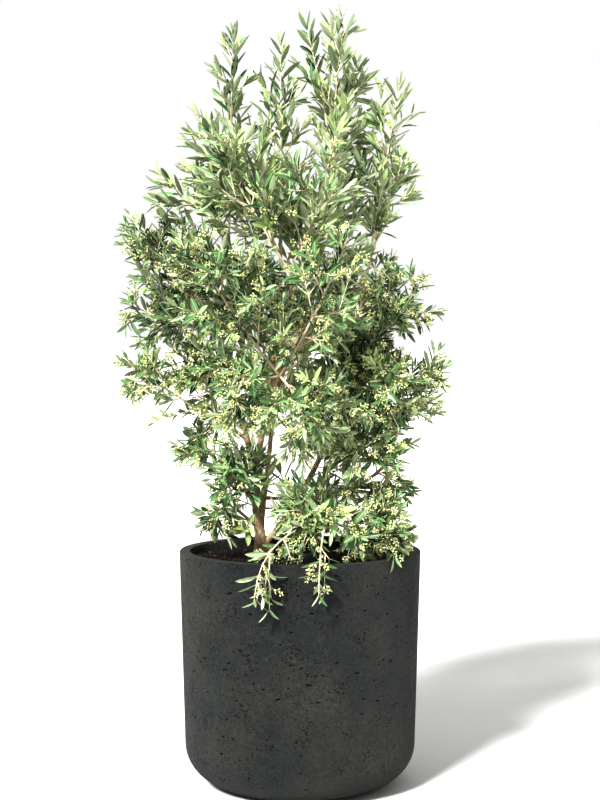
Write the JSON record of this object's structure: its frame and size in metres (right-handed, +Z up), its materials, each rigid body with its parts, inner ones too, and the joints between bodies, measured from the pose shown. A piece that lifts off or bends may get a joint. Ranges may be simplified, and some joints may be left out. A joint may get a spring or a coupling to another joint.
{
  "type": "potted olive tree",
  "caption": "Bushy young olive tree in flower bud, growing in a round straight-sided pot of dark washed cement.",
  "frame": {"origin": "centre of the pot's flat underside, on the floor it stands on", "axes": "+Z up along the pot's axis, front of the plant towards -Y, +X to the viewer's right"},
  "size_m": [0.7083, 0.7166, 1.6154],
  "materials": {
    "cement": "dark charcoal washed cement, matte, with small open pits",
    "soil": "moist near-black potting soil, loose and matte",
    "bark": "smooth young grey-brown olive bark",
    "foliage": "grey-green olive leaves, satin above and silvery below"
  },
  "bodies": {
    "root": {"pot": "cement", "soil": "soil", "trunk": "bark", "left_bough": "bark", "centre_bough": "bark", "right_bough": "bark", "back_bough": "bark", "front_bough": "bark", "left_riser": "bark", "crown_bough": "bark", "right_riser": "bark", "back_riser": "bark", "front_riser": "bark", "far_right_bough": "bark", "left_arm": "bark", "lower_left_bough": "bark", "low_left_bough": "bark", "low_right_bough": "bark", "low_back_bough": "bark", "foliage_top": "foliage", "foliage_top_left": "foliage", "foliage_top_back": "foliage", "foliage_left_spire": "foliage", "foliage_middle_spire": "foliage", "foliage_right_spire": "foliage", "foliage_upper_left": "foliage", "foliage_upper_right": "foliage", "foliage_upper_front_left": "foliage", "foliage_upper_front_right": "foliage", "foliage_upper_back_left": "foliage", "foliage_upper_back_right": "foliage", "foliage_core": "foliage", "foliage_left_high": "foliage", "foliage_left": "foliage", "foliage_left_back": "foliage", "foliage_front_left": "foliage", "foliage_front_right": "foliage", "foliage_right": "foliage", "foliage_right_low": "foliage", "foliage_back_right": "foliage", "foliage_back_left": "foliage", "foliage_left_arm": "foliage", "foliage_left_under": "foliage", "foliage_lower_left": "foliage", "foliage_lower_front_left": "foliage", "foliage_lower_front": "foliage", "foliage_lower_right": "foliage", "foliage_lower_right_front": "foliage", "foliage_lower_back": "foliage", "foliage_right_skirt": "foliage", "foliage_front_skirt": "foliage", "foliage_low_left": "foliage", "foliage_low_right": "foliage", "foliage_low_front": "foliage", "foliage_spray_left": "foliage", "foliage_spray_right": "foliage", "foliage_low_back": "foliage", "foliage_by_trunk": "foliage"}
  },
  "joints": []
}
